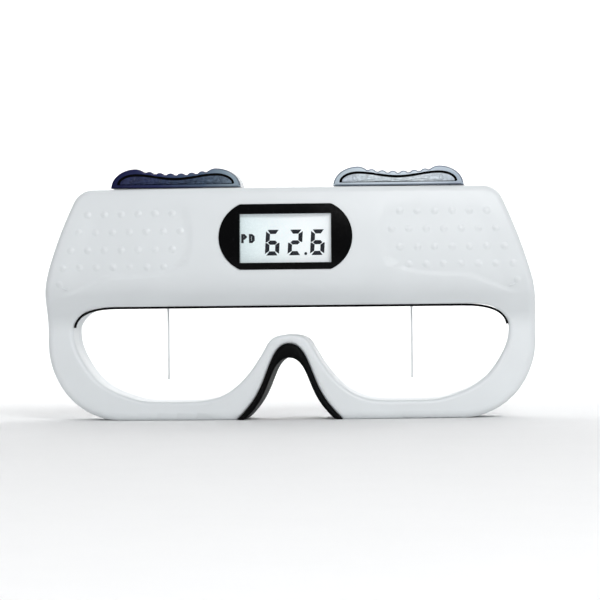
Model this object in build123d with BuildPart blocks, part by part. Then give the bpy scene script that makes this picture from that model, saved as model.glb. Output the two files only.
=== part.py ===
from build123d import *
from math import sqrt
import os

os.makedirs("parts", exist_ok=True)

# A hand-held digital rule for the distance between the pupils. Millimetres.
# +X right seen from the front, +Y towards the wearer, +Z up. The origin is on
# the table, under the middle of the instrument.

# ---------------------------------------------------------------- dimensions
# Housing. Its front and back wrap around the wearer's face: every "y" below is
# a place on the middle plane, and the surface there is an arc about WRAP_AXIS.
TOP_Z = 59.3            # flat top of the housing
FACE_Y = -19.0          # most forward line of the housing's front
FACE_Z = 40.0           # height of that line
BROW_Y = -16.3          # front edge of the flat top, before rounding
BACK_Y = 11.0           # housing's back
FRAME_FRONT_Y = -9.5    # front of the lower, spectacle-shaped frame
FRAME_BACK_Y = 7.0      # back of the frame
PART_Y = 0.5            # joint between front and rear shells
WRAP_R = 278.0          # radius of the front line
AXIS_Y = FACE_Y + WRAP_R
WALL = 2.0
EDGE_R = 2.0            # rounding of the front edges
BACK_EDGE_R = 1.2
RIM_R = 1.0             # rounding of the window's and notch's front edges
BUTT = 0.05             # space left where two pieces of one body meet

# Front view of the outer outline, right half
HALF_W = 63.0           # widest, at the height SIDE_Z
SIDE_Z = 20.0
FOOT_X = 44.0           # outer end of the flat foot
FLANK_Z = 30.0          # the side is upright up to here, then leans in
KNEE = (62.1, 36.5)     # where it becomes nearly straight
SHOULDER = (54.7, 56.2)
TOP_X = 50.0            # end of the flat top

# Window and nose notch
WINDOW_TOP = 29.3
WINDOW_LOW = 4.75
CEILING = WINDOW_TOP + WALL
NOTCH_Z = 19.5
NOSE_Z = 15.9

# Display
BEZEL_Z = 46.7
BEZEL_HALF_H = 8.25
BEZEL_FLAT = 11.5       # half the length of its straight edges
BEZEL_HALF_W = 16.9
BEZEL_PROUD = 0.3
GLASS_Z = 46.3
GLASS_W = 23.2
GLASS_H = 12.4
LCD_Y = -14.5           # front of the display cell's wide back plate

# Measuring slides
HAIR_X = 31.3           # hairline at rest: half of 62.6
SLIDE_X = 28.46         # middle of the thumb slide at rest
IN_TRAVEL = 8.8         # to a half distance of 22.5
OUT_TRAVEL = 9.7        # to a half distance of 41.0
ROD_Y = -4.65
ROD_R = 1.0
ROD_HALF_L = 48.4
ROD_Z = (36.0, 52.0)
RUN = 0.05              # running clearance of a bush on its rod
CARRIAGE_W = 14.0
CARRIAGE_Y = (-7.0, -2.3)
CARRIAGE_Z = (33.6, 54.4)
STEM_W = 8.0
STEM_T = 2.4
SLOT_CLEAR = 0.5
HAIR_R = 0.28
HAIR_LOW = 10.5
KNOB_W = 33.2
KNOB_Z = TOP_Z + 0.3
KNOB_Y = (-11.0, 2.0)
RIDGES = 6
RIDGE_PITCH = 2.73

# Batteries, AAA
CELL_R = 5.25
CELL_L = 44.5
CELL_Y = 4.05
CELL_Z = (40.2, 51.0)
BAY_HALF_W = 26.0
BAY_LOW = 34.9
DOOR_HALF_W = 28.0
DOOR_LOW = 34.2
DOOR_INNER_Y = 9.5
DOOR_GAP = 0.15

# Keys on the back
KEY_X = 40.0
KEY_Z = 46.0
KEY_R = 3.9
KEY_SCREW_Z = (38.9, 53.1)

# Circuit board
BOARD_Y = (-9.6, -8.4)
BOARD_HALF_W = 44.5

WRAP_AXIS = Axis((0, AXIS_Y, 0), (0, 0, 1))
SIDES = (("left", -1), ("right", 1))


def wrap_y(y, x):
    """Where the wrapped surface that crosses the middle plane at y is at x."""
    return AXIS_Y - sqrt((AXIS_Y - y) ** 2 - x ** 2)


def behind(y):
    """All the space behind the wrapped surface that crosses the middle at y."""
    with BuildPart() as space:
        with BuildSketch(Plane.XY.offset(-5)):
            with Locations((0, AXIS_Y)):
                Circle(AXIS_Y - y)
        extrude(amount=90)
    return space.part


def wrapped_side(inset):
    """The side view, moved in by inset, revolved about the wrap axis."""
    with BuildPart() as solid:
        with BuildSketch(Plane.YZ) as side:
            with BuildLine():
                top = Line((BACK_Y, TOP_Z), (BROW_Y, TOP_Z))
                face = ThreePointArc(top @ 1, (FACE_Y + 0.15, FACE_Z + 6), (FACE_Y, FACE_Z))
                roll = TangentArc(face @ 1, (FACE_Y + 3.4, FACE_Z - 8.4), tangent=face % 1)
                fall = roll % 1
                slope = Line(roll @ 1, roll @ 1 + fall * 6.4)
                run = FRAME_FRONT_Y - (slope @ 1).X
                drop = run * sqrt((1 - fall.Y) / (1 + fall.Y))
                hollow = TangentArc(slope @ 1, (FRAME_FRONT_Y, (slope @ 1).Y - drop), tangent=fall)
                front = Line(hollow @ 1, (FRAME_FRONT_Y, -10))
                base = Line(front @ 1, (FRAME_BACK_Y, -10))
                back = Polyline(base @ 1, (FRAME_BACK_Y, 24), (BACK_Y, 28), (BACK_Y, TOP_Z))
            make_face()
            step = side.vertices().filter_by(lambda v: 23 < v.Z < 29 and v.Y > 0)
            fillet(step, radius=3)
            if inset:
                offset(amount=-inset, mode=Mode.REPLACE)
        revolve(axis=WRAP_AXIS, revolution_arc=360)
    return solid.part


def outline_block(inset):
    """The front view, moved in by inset, as a block from front to back."""
    with BuildPart() as block:
        with BuildSketch(Plane.XZ):
            with BuildLine():
                foot = Line((0, 0), (FOOT_X, 0))
                corner = EllipticalCenterArc(
                    (FOOT_X, SIDE_Z), HALF_W - FOOT_X, SIDE_Z, start_angle=270, arc_size=90)
                upright = Line(corner @ 1, (HALF_W, FLANK_Z))
                knee = TangentArc(upright @ 1, KNEE, tangent=upright % 1)
                flank = TangentArc(knee @ 1, SHOULDER, tangent=knee % 1)
                shoulder = TangentArc(flank @ 1, (TOP_X, TOP_Z), tangent=flank % 1)
                Line(shoulder @ 1, (0, TOP_Z))
                mirror(about=Plane.YZ)
            make_face()
            if inset:
                offset(amount=-inset, mode=Mode.REPLACE)
        extrude(amount=60, both=True)
    return block.part


def window_block():
    """The opening that the wearer looks through, from front to back."""
    with BuildPart() as block:
        with BuildSketch(Plane.XZ):
            with BuildLine():
                top = Line((0, WINDOW_TOP), (44, WINDOW_TOP))
                outer = Spline(top @ 1, (53.7, 27.5), (56.1, 22.9), tangents=[(1, 0), (0, -1)])
                cheek = Spline(outer @ 1, (54.0, 15.8), (48, 8.9), (40.6, 5.7), (31, WINDOW_LOW),
                               tangents=[(0, -1), (-1, 0)])
                low = Line(cheek @ 1, (26, WINDOW_LOW))
                Spline(low @ 1, (16, 6.9), (10.3, 12), (6.1, 18.4), (0, 21.8),
                       tangents=[(-1, 0), (-1, 0)])
                mirror(about=Plane.YZ)
            make_face()
        extrude(amount=60, both=True)
    return block.part


def notch_block(y_front, y_back):
    """The nose notch in the frame."""
    with BuildPart() as block:
        with BuildSketch(Plane.XZ.offset(-y_back)):
            with BuildLine():
                side = Spline((14.6, -1), (8.9, 5.6), (6.5, 10.5), (4.5, 15.5), (0, NOTCH_Z),
                              tangents=[(-0.7, 0.7), (-1, 0)])
                Line((0, -1), side @ 0)
                mirror(about=Plane.YZ)
            make_face()
        extrude(amount=y_back - y_front)
    return block.part


def nose_block(y_front, y_back):
    """The space that the nose takes inside the pad."""
    with BuildPart() as block:
        with BuildSketch(Plane.XZ.offset(-y_back)):
            with BuildLine():
                side = Spline((12.7, -1), (7.1, 5.6), (4.9, 10.5), (2.6, 14.7), (0, NOSE_Z),
                              tangents=[(-0.75, 0.66), (-1, 0)])
                Line((0, -1), side @ 0)
                mirror(about=Plane.YZ)
            make_face()
        extrude(amount=y_back - y_front)
    return block.part


def slab(x0, x1, y0, y1, z0, z1):
    """A plain block between two corners."""
    with BuildPart() as block:
        with BuildSketch(Plane.XY.offset(z0)):
            with Locations(((x0 + x1) / 2, (y0 + y1) / 2)):
                Rectangle(x1 - x0, y1 - y0)
        extrude(amount=z1 - z0)
    return block.part


def rod_y(x, z, radius, y0, y1):
    """A round bar along Y."""
    with BuildPart() as bar:
        with BuildSketch(Plane.XZ.offset(-y1)):
            with Locations((x, z)):
                Circle(radius)
        extrude(amount=y1 - y0)
    return bar.part


def rod_x(y, z, radius, x0, x1):
    """A round bar along X."""
    with BuildPart() as bar:
        with BuildSketch(Plane.YZ.offset(x0)):
            with Locations((y, z)):
                Circle(radius)
        extrude(amount=x1 - x0)
    return bar.part


def save(part, node):
    """Label a finished piece and write it."""
    part.label = node
    export_step(part, f"parts/{node}.step")


# ------------------------------------------------------------- common shapes
skin = wrapped_side(0)
inner_skin = wrapped_side(WALL)
outline = outline_block(0)
window = window_block()
rear_space = behind(PART_Y)

with BuildPart() as envelope:
    add(skin)
    add(outline, mode=Mode.INTERSECT)
    rim = envelope.edges().filter_by(
        lambda e: e.geom_type not in (GeomType.LINE, GeomType.ELLIPSE)
        and not (e.geom_type == GeomType.CIRCLE and 0.1 < e.center().Z < TOP_Z - 0.1))
    front_rim = rim.filter_by(lambda e: e.center().Y < wrap_y(PART_Y, e.center().X))
    fillet(front_rim, radius=EDGE_R)
with BuildPart() as rounded:
    add(envelope.part)
    rim = rounded.edges().filter_by(
        lambda e: e.geom_type not in (GeomType.LINE, GeomType.ELLIPSE)
        and not (e.geom_type == GeomType.CIRCLE and 0.1 < e.center().Z < TOP_Z - 0.1))
    back_rim = rim.filter_by(
        lambda e: e.center().Y > wrap_y(FRAME_BACK_Y - 1, e.center().X))
    fillet(back_rim, radius=BACK_EDGE_R)

with BuildPart() as body:
    add(rounded.part)
    add(window, mode=Mode.SUBTRACT)
    add(notch_block(-30, 30), mode=Mode.SUBTRACT)
    openings = body.edges().filter_by(
        lambda e: e.geom_type != GeomType.LINE
        and abs(e.center().Y - wrap_y(FRAME_FRONT_Y, e.center().X)) < 0.3
        and 4 < e.center().Z < 23 and abs(e.center().X) < 56.2)
    fillet(openings, radius=RIM_R)

with BuildPart() as cavity:
    add(inner_skin)
    add(outline_block(WALL), mode=Mode.INTERSECT)
    add(slab(-70, 70, -30, 40, CEILING, TOP_Z), mode=Mode.INTERSECT)


# ---------------------------------------------------------------- grip dots
# Rows of round dots under the thumbs, staggered: height, first dot, count.
GRIP_DOTS = ((52.9, 28.9, 6), (48.4, 26.8, 7), (43.8, 28.9, 7), (39.4, 31.1, 7), (35.2, 58.5, 1))
DOT_PITCH = 4.4
DOT_R = 1.1
DOT_H = 0.35
dot_skin = wrapped_side(-DOT_H)

for side, sign in SIDES:
    with BuildPart() as grip_dots:
        with BuildSketch(Plane.XZ):
            spots = [(sign * (first + DOT_PITCH * i), z)
                     for z, first, count in GRIP_DOTS for i in range(count)]
            with Locations(*spots):
                Circle(DOT_R)
        extrude(amount=30)
        add(dot_skin, mode=Mode.INTERSECT)
        add(skin, mode=Mode.SUBTRACT)
    save(grip_dots.part, f"{side}_grip_dots")


# ------------------------------------------------------------------- display
def bezel_block(grow):
    """Front view of the display surround: straight top and bottom, bowed ends."""
    with BuildPart() as block:
        with BuildSketch(Plane.XZ) as face:
            with BuildLine():
                top = Line((-BEZEL_FLAT, BEZEL_Z + BEZEL_HALF_H), (BEZEL_FLAT, BEZEL_Z + BEZEL_HALF_H))
                end = ThreePointArc(top @ 1, (BEZEL_HALF_W, BEZEL_Z), (BEZEL_FLAT, BEZEL_Z - BEZEL_HALF_H))
                low = Line(end @ 1, (-BEZEL_FLAT, BEZEL_Z - BEZEL_HALF_H))
                ThreePointArc(low @ 1, (-BEZEL_HALF_W, BEZEL_Z), top @ 0)
            make_face()
            fillet(face.vertices(), radius=1.2)
            if grow:
                offset(amount=grow, mode=Mode.REPLACE)
        extrude(amount=30)
    return block.part


def glass_block(width, height, y0, y1):
    """A block centred on the display."""
    return slab(-width / 2, width / 2, y0, y1, GLASS_Z - height / 2, GLASS_Z + height / 2)


with BuildPart() as display_bezel:
    add(bezel_block(0))
    add(wrapped_side(-BEZEL_PROUD), mode=Mode.INTERSECT)
    add(inner_skin, mode=Mode.SUBTRACT)
    add(glass_block(GLASS_W, GLASS_H, -30, 0), mode=Mode.SUBTRACT)
save(display_bezel.part, "display_bezel")

with BuildPart() as bezel_clamp:
    add(glass_block(36.5, 18.5, -30, 0))
    add(wrapped_side(WALL + BUTT), mode=Mode.INTERSECT)
    add(wrapped_side(WALL + 0.7), mode=Mode.SUBTRACT)
    add(glass_block(GLASS_W + 0.4, GLASS_H + 0.4, -30, 0), mode=Mode.SUBTRACT)
    edges = bezel_clamp.edges().filter_by(Axis.Y).group_by(lambda e: abs(e.center().X))[-1]
    fillet(edges, radius=4)
save(bezel_clamp.part, "bezel_clamp")

with BuildPart() as display_window:
    add(glass_block(GLASS_W - 0.1, GLASS_H - 0.1, -30, 0))
    add(wrapped_side(0.1), mode=Mode.INTERSECT)
    add(wrapped_side(0.8), mode=Mode.SUBTRACT)
save(display_window.part, "display_window")

with BuildPart() as lcd_glass:
    add(glass_block(GLASS_W - 0.2, GLASS_H - 0.2, -16.9, LCD_Y))
    add(glass_block(26.4, 15.2, LCD_Y, LCD_Y + 1.0))
save(lcd_glass.part, "lcd_glass")

with BuildPart() as lcd_reflector:
    add(glass_block(26.0, 9.6, LCD_Y + 1.0, LCD_Y + 1.2))
save(lcd_reflector.part, "lcd_reflector")

with BuildPart() as lcd_holder:
    add(glass_block(29.4, 18.2, LCD_Y + 0.7, BOARD_Y[0]))
    add(glass_block(26.6, 15.4, -30, 0), mode=Mode.SUBTRACT)
save(lcd_holder.part, "lcd_holder")

with BuildPart() as zebra_strips:
    for level in (GLASS_Z - 6.4, GLASS_Z + 6.4):
        add(slab(-12, 12, LCD_Y + 1.0, BOARD_Y[0], level - 0.9, level + 0.9))
save(zebra_strips.part, "zebra_strips")


# ------------------------------------------------------------- circuit board
BOARD_SCREWS = ((-21, 38.6), (21, 38.6), (-21, 54.0), (21, 54.0))

with BuildPart() as circuit_board:
    add(slab(-24, 24, *BOARD_Y, 36.2, 56.4))
    add(slab(-BOARD_HALF_W, BOARD_HALF_W, *BOARD_Y, 41.0, 49.5))
    with Locations(*[Plane(origin=(x, BOARD_Y[1], z), z_dir=(0, 1, 0)) for x, z in BOARD_SCREWS]):
        Hole(radius=0.95)
save(circuit_board.part, "circuit_board")

with BuildPart() as encoder_tracks:
    for sign in (-1, 1):
        low, high = sorted((sign * 12.0, sign * 44.0))
        add(slab(low, high, BOARD_Y[1], BOARD_Y[1] + 0.07, 42.5, 48.0))
save(encoder_tracks.part, "encoder_tracks")

with BuildPart() as board_chips:
    add(slab(-4, 4, BOARD_Y[0] - 1.2, BOARD_Y[0], GLASS_Z - 4, GLASS_Z + 4))
    for sign in (-1, 1):
        x = 31 * sign
        add(slab(x - 3, x + 3, BOARD_Y[0] - 1.4, BOARD_Y[0], 43.2, 47.6))
        x = 19.5 * sign
        add(slab(x - 1, x + 1, BOARD_Y[0] - 0.8, BOARD_Y[0], 44.4, 45.6))
        add(slab(x - 1, x + 1, BOARD_Y[0] - 0.8, BOARD_Y[0], 47.4, 48.6))
save(board_chips.part, "board_chips")

with BuildPart() as board_screws:
    for x, z in BOARD_SCREWS:
        add(rod_y(x, z, 0.8, -14.5, BOARD_Y[1]))
        add(rod_y(x, z, 1.6, BOARD_Y[1], BOARD_Y[1] + 0.9))
save(board_screws.part, "board_screws")


# -------------------------------------------------------------------- shells
# Place of each housing screw: x, z, depth of the head below the back surface.
HOUSING_SCREWS = ((51.3, 52.0), (56.3, 36.3), (50.6, 6.3))
SCREW_R = 0.85
HEAD_R = 1.9
HEAD_T = 1.3
BRACKET_SCREW = (47.3, 44.0)
BOSS_R = 2.6


def back_y(x, z):
    """The outer back surface at x, for the frame or for the housing."""
    return wrap_y(FRAME_BACK_Y if z < 24 else BACK_Y, x)


with BuildPart() as front_shell:
    add(body.part)
    add(cavity.part, mode=Mode.SUBTRACT)
    for side, sign in SIDES:
        for x, z in HOUSING_SCREWS[:2]:
            add(rod_y(sign * x, z, BOSS_R, wrap_y(FACE_Y + 1, x) + 0.8, 30))
        x, z = BRACKET_SCREW
        add(rod_y(sign * x, z, 2.1, wrap_y(FACE_Y + 1, x) + 0.4, -7.6))
    for x, z in BOARD_SCREWS:
        add(rod_y(x, z, 2.2, -16.2, BOARD_Y[0]))
    add(rear_space, mode=Mode.SUBTRACT)
    add(bezel_block(0.08), mode=Mode.SUBTRACT)
    for side, sign in SIDES:
        slot_in = SLIDE_X - IN_TRAVEL - STEM_W / 2 - SLOT_CLEAR
        slot_out = SLIDE_X + OUT_TRAVEL + STEM_W / 2 + SLOT_CLEAR
        low, high = sorted((sign * slot_in, sign * slot_out))
        add(slab(low, high, ROD_Y - 1.5, ROD_Y + 1.5, 56, 62), mode=Mode.SUBTRACT)
        low, high = sorted((sign * (HAIR_X - IN_TRAVEL - 0.7), sign * (HAIR_X + OUT_TRAVEL + 0.7)))
        add(slab(low, high, ROD_Y - 0.8, ROD_Y + 0.8, 28, 33), mode=Mode.SUBTRACT)
        for x, z in HOUSING_SCREWS:
            tip = back_y(x, z) - 21 if z > 24 else back_y(x, z) - 12
            add(rod_y(sign * x, z, SCREW_R, tip, 30), mode=Mode.SUBTRACT)
        x, z = BRACKET_SCREW
        add(rod_y(sign * x, z, 0.8, -11.5, -7), mode=Mode.SUBTRACT)
    for x, z in BOARD_SCREWS:
        add(rod_y(x, z, 0.8, -14.5, -9), mode=Mode.SUBTRACT)
save(front_shell.part, "front_shell")

RAIL_Z = (36.5, 55.5)
TRAY_Y = -1.9            # front of the battery tray

with BuildPart() as rail_groove:
    add(slab(-29.1, 29.1, 0, 20, RAIL_Z[0] - 0.4, TOP_Z + 5))
    add(slab(-27.7, 27.7, 0, 20, 0, 80), mode=Mode.SUBTRACT)
    add(behind(9.8), mode=Mode.INTERSECT)
    add(behind(10.5), mode=Mode.SUBTRACT)

with BuildPart() as door_rebate:
    add(slab(-DOOR_HALF_W, DOOR_HALF_W, 0, 30, DOOR_LOW - DOOR_GAP, TOP_Z + 5))
    add(behind(DOOR_INNER_Y), mode=Mode.INTERSECT)

with BuildPart() as rear_shell:
    add(body.part)
    add(cavity.part, mode=Mode.SUBTRACT)
    for side, sign in SIDES:
        for x, z in HOUSING_SCREWS[:2]:
            add(rod_y(sign * x, z, BOSS_R, -5, back_y(x, z) - 1.0))
        for z in KEY_SCREW_Z:
            add(rod_y(sign * KEY_X, z, 1.7, 4.6, back_y(KEY_X, z) - 1.0))
    add(rear_space, mode=Mode.INTERSECT)
    for side, sign in SIDES:
        low, high = sorted((sign * BAY_HALF_W, sign * (BAY_HALF_W + 1)))
        add(slab(low, high, TRAY_Y, 9.6, BAY_LOW - 0.9, TOP_Z - WALL - 0.1))
        add(slab(low, high, PART_Y + 1.8, 9.6, TOP_Z - WALL - 1, TOP_Z - WALL + 0.4))
    add(slab(-BAY_HALF_W, BAY_HALF_W, TRAY_Y, TRAY_Y + 0.6, BAY_LOW - 0.9, TOP_Z - WALL - 0.1))
    add(slab(-BAY_HALF_W, BAY_HALF_W, TRAY_Y, 9.6, BAY_LOW - 0.9, BAY_LOW))
    bay = slab(-BAY_HALF_W, BAY_HALF_W, 5, 30, BAY_LOW + 0.3, TOP_Z - WALL - 0.4)
    add(bay, mode=Mode.SUBTRACT)
    add(door_rebate.part, mode=Mode.SUBTRACT)
    add(rail_groove.part, mode=Mode.SUBTRACT)
    for side, sign in SIDES:
        for x, z in HOUSING_SCREWS:
            surface = back_y(x, z)
            add(rod_y(sign * x, z, SCREW_R + 0.25, -5, 30), mode=Mode.SUBTRACT)
            add(rod_y(sign * x, z, HEAD_R + 0.2, surface - 2.4, 30), mode=Mode.SUBTRACT)
        add(rod_y(sign * KEY_X, KEY_Z, KEY_R + 0.3, 8, 30), mode=Mode.SUBTRACT)
        for z in KEY_SCREW_Z:
            add(rod_y(sign * KEY_X, z, 0.7, 4, 10.5), mode=Mode.SUBTRACT)
save(rear_shell.part, "rear_shell")

with BuildPart() as housing_screws:
    for side, sign in SIDES:
        for x, z in HOUSING_SCREWS:
            seat = back_y(x, z) - 2.4
            length = 18 if z > 24 else 9
            add(rod_y(sign * x, z, SCREW_R - BUTT, seat - length, seat))
            add(rod_y(sign * x, z, HEAD_R, seat, seat + HEAD_T))
            cross = seat + HEAD_T
            add(slab(sign * x - 1.2, sign * x + 1.2, cross - 0.7, cross + 1, z - 0.22, z + 0.22),
                mode=Mode.SUBTRACT)
            add(slab(sign * x - 0.22, sign * x + 0.22, cross - 0.7, cross + 1, z - 1.2, z + 1.2),
                mode=Mode.SUBTRACT)
save(housing_screws.part, "housing_screws")


# -------------------------------------------------------------- battery door
with BuildPart() as door_rails:
    add(slab(-28.9, 28.9, 0, 20, *RAIL_Z))
    add(slab(-27.6, 27.6, 0, 20, 0, 80), mode=Mode.SUBTRACT)
    add(behind(9.95), mode=Mode.INTERSECT)
    add(behind(10.35), mode=Mode.SUBTRACT)

with BuildPart() as battery_door:
    add(rounded.part)
    add(slab(DOOR_GAP - DOOR_HALF_W, DOOR_HALF_W - DOOR_GAP, 0, 30, DOOR_LOW, TOP_Z + 5),
        mode=Mode.INTERSECT)
    add(behind(DOOR_INNER_Y + DOOR_GAP), mode=Mode.INTERSECT)
    add(door_rails.part)
    for step in range(4):
        add(rod_x(BACK_Y - 0.05, 38 + 1.6 * step, 0.5, -7, 7))
save(battery_door.part, "battery_door")

with BuildPart() as battery_cells:
    for z, sign in zip(CELL_Z, (-1, 1)):
        ends = sorted((-sign * CELL_L / 2, sign * (CELL_L / 2 - 0.9)))
        add(rod_x(CELL_Y, z, CELL_R, *ends))
        nub = sorted((sign * (CELL_L / 2 - 0.9), sign * CELL_L / 2))
        add(rod_x(CELL_Y, z, 1.9, *nub))
save(battery_cells.part, "battery_cells")

PLATE_X = BAY_HALF_W - 0.5
with BuildPart() as battery_contacts:
    for z, sign in zip(CELL_Z, (-1, 1)):
        low, high = sorted((sign * CELL_L / 2, sign * PLATE_X))
        add(rod_x(CELL_Y, z, 1.6, low, high))
        low, high = sorted((sign * PLATE_X, sign * (BAY_HALF_W - BUTT)))
        add(slab(low, high, CELL_Y - 4, CELL_Y + 4, z - 4.5, z + 4.5))
        add(slab(-high, -low, CELL_Y - 4, CELL_Y + 4, z - 4.5, z + 4.5))
save(battery_contacts.part, "battery_contacts")

with BuildPart() as battery_springs:
    for z, sign in zip(CELL_Z, (-1, 1)):
        start = Vector(-sign * (PLATE_X - 0.3), CELL_Y, z)
        with BuildLine() as coil:
            Helix(pitch=0.85, height=2.55, radius=3.4, cone_angle=-24, center=start,
                  direction=(sign, 0, 0))
        with BuildSketch(Plane(origin=coil.line @ 0, z_dir=coil.line % 0)):
            Circle(0.25)
        sweep(path=coil.line)
save(battery_springs.part, "battery_springs")


# ---------------------------------------------------------- keys on the back
key_surface = wrap_y(BACK_Y, KEY_X)
for node, sign in (("power_button", -1), ("mode_button", 1)):
    x = sign * KEY_X
    with BuildPart() as button:
        add(rod_y(x, KEY_Z, KEY_R, 10.6, key_surface + 0.9))
        crown = button.faces().sort_by(Axis.Y)[-1].edges()
        fillet(crown, radius=0.6)
        add(rod_y(x, KEY_Z, KEY_R + 1.1, 10.0, 10.9))
        add(rod_y(x, KEY_Z, 1.5, 7.75, 10.0))
    save(button.part, node)

with BuildPart() as key_boards:
    for side, sign in SIDES:
        x = sign * KEY_X
        add(slab(x - 5, x + 5, 3.4, 4.6, 37.2, 54.8))
        for z in KEY_SCREW_Z:
            add(rod_y(x, z, 0.75, 0, 10), mode=Mode.SUBTRACT)
save(key_boards.part, "key_boards")

with BuildPart() as key_switches:
    for side, sign in SIDES:
        x = sign * KEY_X
        add(slab(x - 3, x + 3, 4.6, 8.1, KEY_Z - 3, KEY_Z + 3))
        add(rod_y(x, KEY_Z, 1.6, 6.8, 10), mode=Mode.SUBTRACT)
save(key_switches.part, "key_switches")

with BuildPart() as key_board_screws:
    for side, sign in SIDES:
        for z in KEY_SCREW_Z:
            add(rod_y(sign * KEY_X, z, 0.65, 3.4, 9.5))
            add(rod_y(sign * KEY_X, z, 1.4, 2.5, 3.4))
save(key_board_screws.part, "key_board_screws")


# ---------------------------------------------------------------------- pads
BROW_PAD_W = 88.0
BROW_PAD_TOP = 33.6
LIP_T = 0.6              # seal strip along the window's upper edge
LIP_Y = -1.5             # its front edge
LIP_END = 55.0

with BuildPart() as straight_lip:
    add(slab(-42, 42, -20, 30, WINDOW_TOP - LIP_T, WINDOW_TOP))
    add(behind(LIP_Y), mode=Mode.INTERSECT)
    add(behind(BACK_Y + 1), mode=Mode.SUBTRACT)

with BuildPart() as corner_lips:
    add(window.moved(Location((0, 0, -BUTT))))
    add(slab(-LIP_END, LIP_END, -40, 40, 25.5, WINDOW_TOP + 1), mode=Mode.INTERSECT)
    add(window.moved(Location((0, 0, -LIP_T))), mode=Mode.SUBTRACT)
    add(slab(-42, 42, -40, 40, 0, 40), mode=Mode.SUBTRACT)
    add(behind(LIP_Y), mode=Mode.INTERSECT)
    add(behind(FRAME_BACK_Y - 1), mode=Mode.SUBTRACT)

with BuildPart() as brow_pad:
    with BuildSketch(Plane.XZ.offset(-30)):
        with Locations((0, (WINDOW_TOP - LIP_T + BROW_PAD_TOP) / 2)):
            RectangleRounded(BROW_PAD_W, BROW_PAD_TOP - WINDOW_TOP + LIP_T, 1.5)
    extrude(amount=60)
    add(behind(BACK_Y), mode=Mode.INTERSECT)
    add(behind(BACK_Y + 4), mode=Mode.SUBTRACT)
    pad_edges = brow_pad.edges().filter_by(
        lambda e: e.geom_type != GeomType.LINE and e.center().Y > wrap_y(BACK_Y + 3, e.center().X))
    fillet(pad_edges, radius=1.2)
    add(straight_lip.part)
    add(corner_lips.part)
save(brow_pad.part, "brow_pad")

with BuildPart() as nose_pad:
    add(notch_block(FRAME_FRONT_Y - 0.4, 10.5))
    add(slab(-20, 20, -30, 30, -5, 0), mode=Mode.SUBTRACT)
    add(nose_block(-30, 30), mode=Mode.SUBTRACT)
save(nose_pad.part, "nose_pad")


# ------------------------------------------------------------ guide assembly
with BuildPart() as guide_rods:
    for z in ROD_Z:
        add(rod_x(ROD_Y, z, ROD_R, -ROD_HALF_L, ROD_HALF_L))
save(guide_rods.part, "guide_rods")

for side, sign in SIDES:
    x, z = BRACKET_SCREW
    low, high = sorted((sign * 46.0, sign * 48.6))
    with BuildPart() as bracket:
        add(slab(low, high, -7.6, -1.8, 33.4, 54.6))
        low, high = sorted((sign * 45.6, sign * 49.4))
        add(slab(low, high, -7.6, -5.6, z - 2.8, z + 2.8))
        add(slab(low, high, -5.6, 0, z - 2.8, z + 2.8), mode=Mode.SUBTRACT)
        for level in ROD_Z:
            add(rod_x(ROD_Y, level, ROD_R, -60, 60), mode=Mode.SUBTRACT)
        add(rod_y(sign * x, z, 0.8, -9, 0), mode=Mode.SUBTRACT)
    save(bracket.part, f"{side}_rod_bracket")

with BuildPart() as bracket_screws:
    for side, sign in SIDES:
        x, z = BRACKET_SCREW
        add(rod_y(sign * x, z, 0.8, -11.5, -5.6))
        add(rod_y(sign * x, z, 1.5, -5.6, -4.7))
save(bracket_screws.part, "bracket_screws")


# ------------------------------------------------------------ measuring slides
KNOB_POST = 10.3        # from the slide's middle to each raised end
RIM_H = 4.9             # height of the raised ends
DIP_H = 3.35            # height between ridges at the middle
RIDGE_R = 0.85


def knob_block(centre):
    """The thumb slide's outline: two round, raised ends and a ridged dip between."""
    with BuildPart() as block:
        with BuildSketch(Plane.XZ.offset(-KNOB_Y[1])):
            with BuildLine():
                Line((centre, KNOB_Z), (centre + KNOB_W / 2, KNOB_Z))
                end = EllipticalCenterArc(
                    (centre + KNOB_POST, KNOB_Z), KNOB_W / 2 - KNOB_POST, RIM_H,
                    start_angle=0, arc_size=90)
                shoulder = TangentArc(end @ 1, (centre + 8.0, KNOB_Z + 4.3), tangent=end % 1)
                ThreePointArc(shoulder @ 1, (centre + 4.0, KNOB_Z + 3.59), (centre, KNOB_Z + DIP_H))
                mirror(about=Plane.YZ.offset(centre))
            make_face()
            for i in range(RIDGES):
                away = (i - (RIDGES - 1) / 2) * RIDGE_PITCH
                with Locations((centre + away, KNOB_Z + DIP_H - 0.45 + 0.0125 * away ** 2)):
                    Circle(RIDGE_R)
        extrude(amount=KNOB_Y[1] - KNOB_Y[0])
    return block.part


def inlay_block(centre, grow):
    """The sunk panel's outline in the thumb slide's face, widened by grow."""
    with BuildPart() as block:
        with BuildSketch(Plane.XZ.offset(30)):
            with BuildLine():
                base = KNOB_Z + 1.0 - grow / 3
                rise = KNOB_Z + 1.0 + grow
                end = 14.4 + grow
                low = Line((centre - end, base), (centre + end, base))
                right = ThreePointArc(low @ 1, (centre + end - 1.3, rise + 1.3),
                                      (centre + KNOB_POST, rise + 2.1))
                dip = ThreePointArc(right @ 1, (centre, rise + 0.9), (centre - KNOB_POST, rise + 2.1))
                ThreePointArc(dip @ 1, (centre - end + 1.3, rise + 1.3), low @ 0)
            make_face()
        extrude(amount=-60)
    return block.part


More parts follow.
